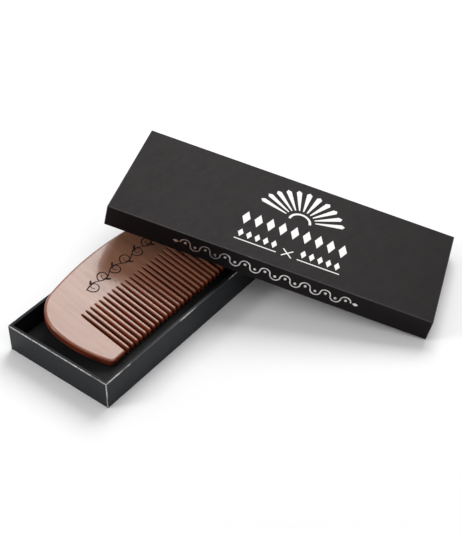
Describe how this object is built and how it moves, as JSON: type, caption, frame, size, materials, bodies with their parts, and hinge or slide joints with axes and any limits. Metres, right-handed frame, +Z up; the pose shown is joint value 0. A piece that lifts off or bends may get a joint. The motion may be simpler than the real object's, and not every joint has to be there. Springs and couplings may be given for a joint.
{
  "type": "boxed wooden beard comb",
  "caption": "Flat wooden beard comb lying in a shallow black card tray, with the tray's lift-off lid leaning across one corner.",
  "frame": {"origin": "middle of the tray's underside, on the surface that the box stands on", "axes": "+Z up, +X along the tray's length towards the end that the lid leans on, +Y from the tray's near long side to the far one that the comb's back lies over"},
  "size_m": [0.2093, 0.1973, 0.0518],
  "materials": {
    "comb_wood": "sanded and oiled to a soft gloss",
    "grey_board": "raw",
    "kraft_tape": "raw",
    "tray_paper": "matte coated",
    "lid_paper": "matte coated",
    "lining_paper": "uncoated",
    "insert_card": "uncoated",
    "white_print": "matte ink",
    "foil_print": "pressed silver foil"
  },
  "bodies": {
    "tray": {"tray_floor_board": "grey_board", "tray_front_board": "grey_board", "tray_back_board": "grey_board", "tray_left_board": "grey_board", "tray_right_board": "grey_board", "tray_corner_stays": "kraft_tape", "tray_wrap": "tray_paper", "tray_base_sheet": "tray_paper", "tray_liner": "lining_paper", "tray_insert": "insert_card"},
    "lid": {"lid_top_board": "grey_board", "lid_front_board": "grey_board", "lid_back_board": "grey_board", "lid_left_board": "grey_board", "lid_right_board": "grey_board", "lid_corner_stays": "kraft_tape", "lid_wrap": "lid_paper", "lid_liner": "lining_paper", "lid_emblem": "white_print", "lid_scroll": "foil_print"},
    "comb": {"comb": "comb_wood"}
  },
  "joints": [
    {"name": "lid_lift", "type": "slide", "parent": "tray", "child": "lid", "axis": [0, 0, 1], "range_m": [0, 0.08]},
    {"name": "comb_draw", "type": "slide", "parent": "tray", "child": "comb", "axis": [0, 0.9755, 0.2199], "range_m": [0, 0.075]}
  ]
}
